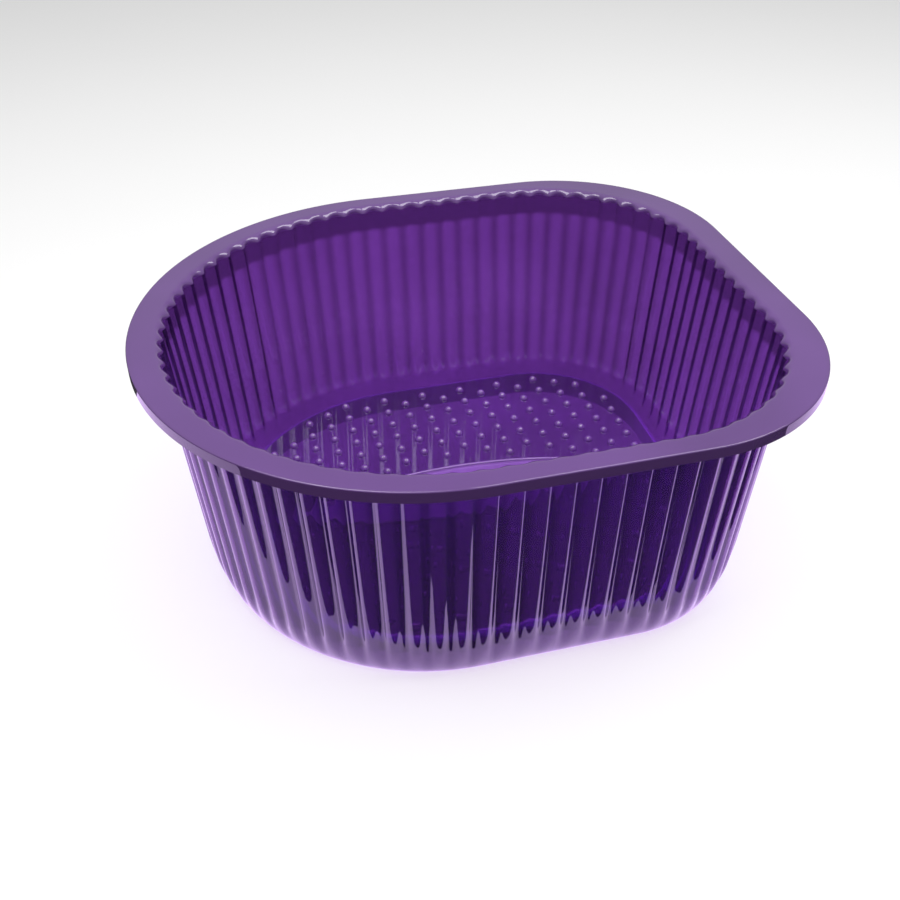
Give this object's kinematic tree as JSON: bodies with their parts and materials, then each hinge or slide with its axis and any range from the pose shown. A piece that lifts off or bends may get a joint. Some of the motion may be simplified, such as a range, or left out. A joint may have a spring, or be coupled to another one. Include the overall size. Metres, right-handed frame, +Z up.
{
  "type": "foot spa basin",
  "caption": "Translucent purple foot soaking basin: flat rim with a turned-down lip, fluted drafted walls, a smooth base curve and a raised floor pad with massage nodules.",
  "frame": {"origin": "on the surface that the basin rests on, under the middle of the rim's bounding box", "axes": "+X towards the square end, -X towards the round end, +Y across the basin towards its back side, +Z up"},
  "size_m": [0.3682, 0.3174, 0.1524],
  "materials": {
    "flange_purple": "glossy translucent purple, flat moulded flange",
    "wall_purple": "glossy translucent deep purple, fluted",
    "base_purple": "glossy translucent purple, smooth",
    "pad_purple": "glossy translucent purple, smooth with moulded relief",
    "nodule_purple": "glossy translucent purple, polished domes"
  },
  "bodies": {
    "root": {"rim_flange": "flange_purple", "rim_lip": "flange_purple", "wall_square_end": "wall_purple", "wall_back": "wall_purple", "wall_round_end": "wall_purple", "wall_front": "wall_purple", "base_curve": "base_purple", "foot_ring": "base_purple", "pad_side": "pad_purple", "massage_pad": "pad_purple", "centre_panel": "pad_purple", "panel_bead": "pad_purple", "nodules_back": "nodule_purple", "nodules_front": "nodule_purple"}
  },
  "joints": []
}
